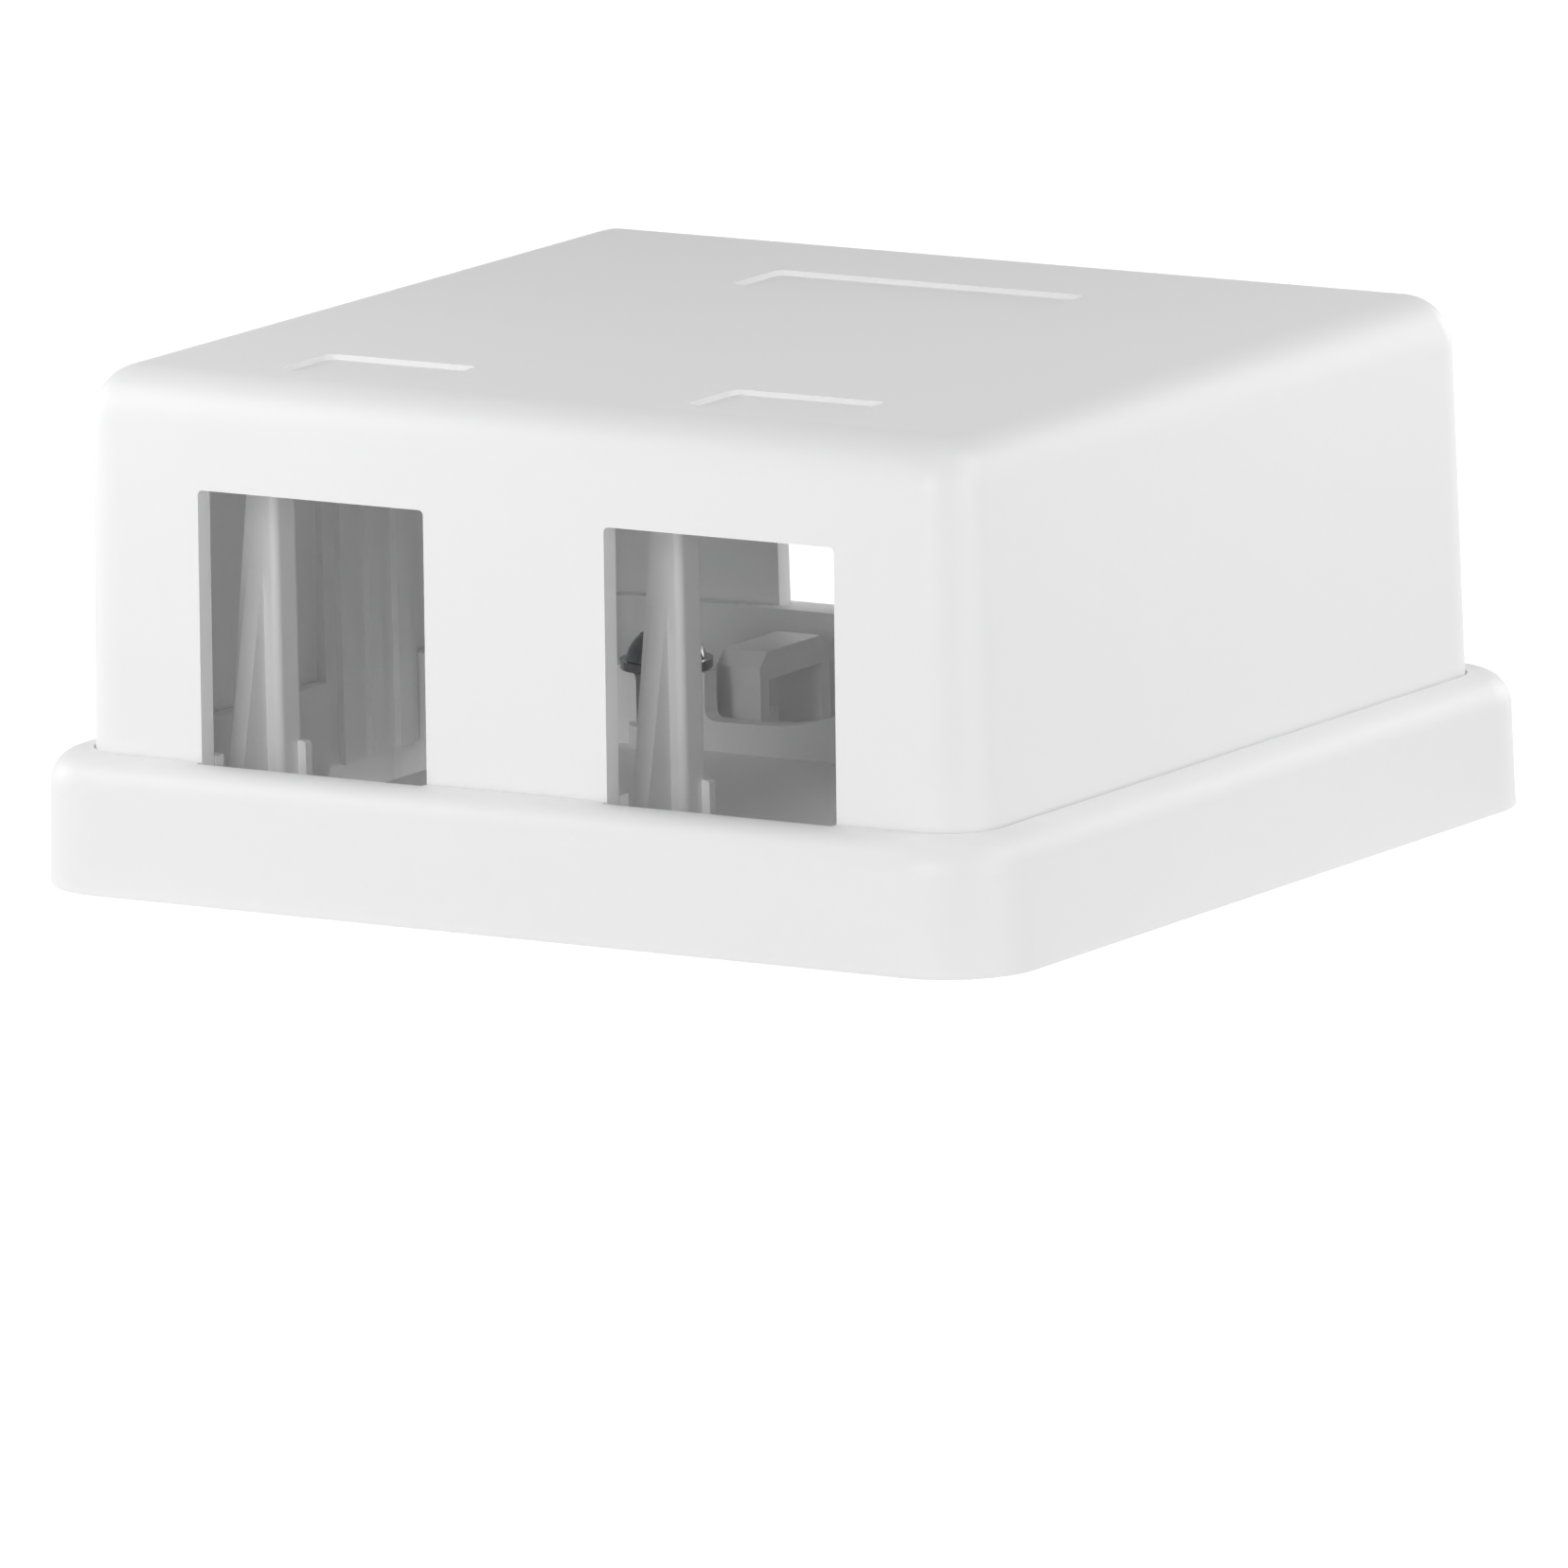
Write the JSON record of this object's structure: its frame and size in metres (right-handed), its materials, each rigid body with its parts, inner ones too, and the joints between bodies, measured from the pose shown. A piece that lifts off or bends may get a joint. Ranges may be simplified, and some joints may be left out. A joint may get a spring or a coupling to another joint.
{
  "type": "surface mount jack box",
  "caption": "Low white moulded box for push-in data jacks: a lift-off cover with front openings on a stepped base with jack posts, cable-tie bridges and parked wall screws.",
  "frame": {"origin": "centre of the base's footprint, on the side that lies on the wall", "axes": "+Z out of the wall through the cover's top, -Y out of the jack openings, X along the row of openings"},
  "size_m": [0.0632, 0.06, 0.029],
  "materials": {
    "white_plastic": "satin moulded",
    "plated_steel": "bright plated"
  },
  "bodies": {
    "base": {"base": "white_plastic", "mounting_screw_left": "plated_steel", "mounting_screw_right": "plated_steel"},
    "cover": {"cover": "white_plastic"}
  },
  "joints": [
    {"name": "cover_lift", "type": "slide", "parent": "base", "child": "cover", "axis": [0, 0, 1], "range_m": [0, 0.025]}
  ]
}
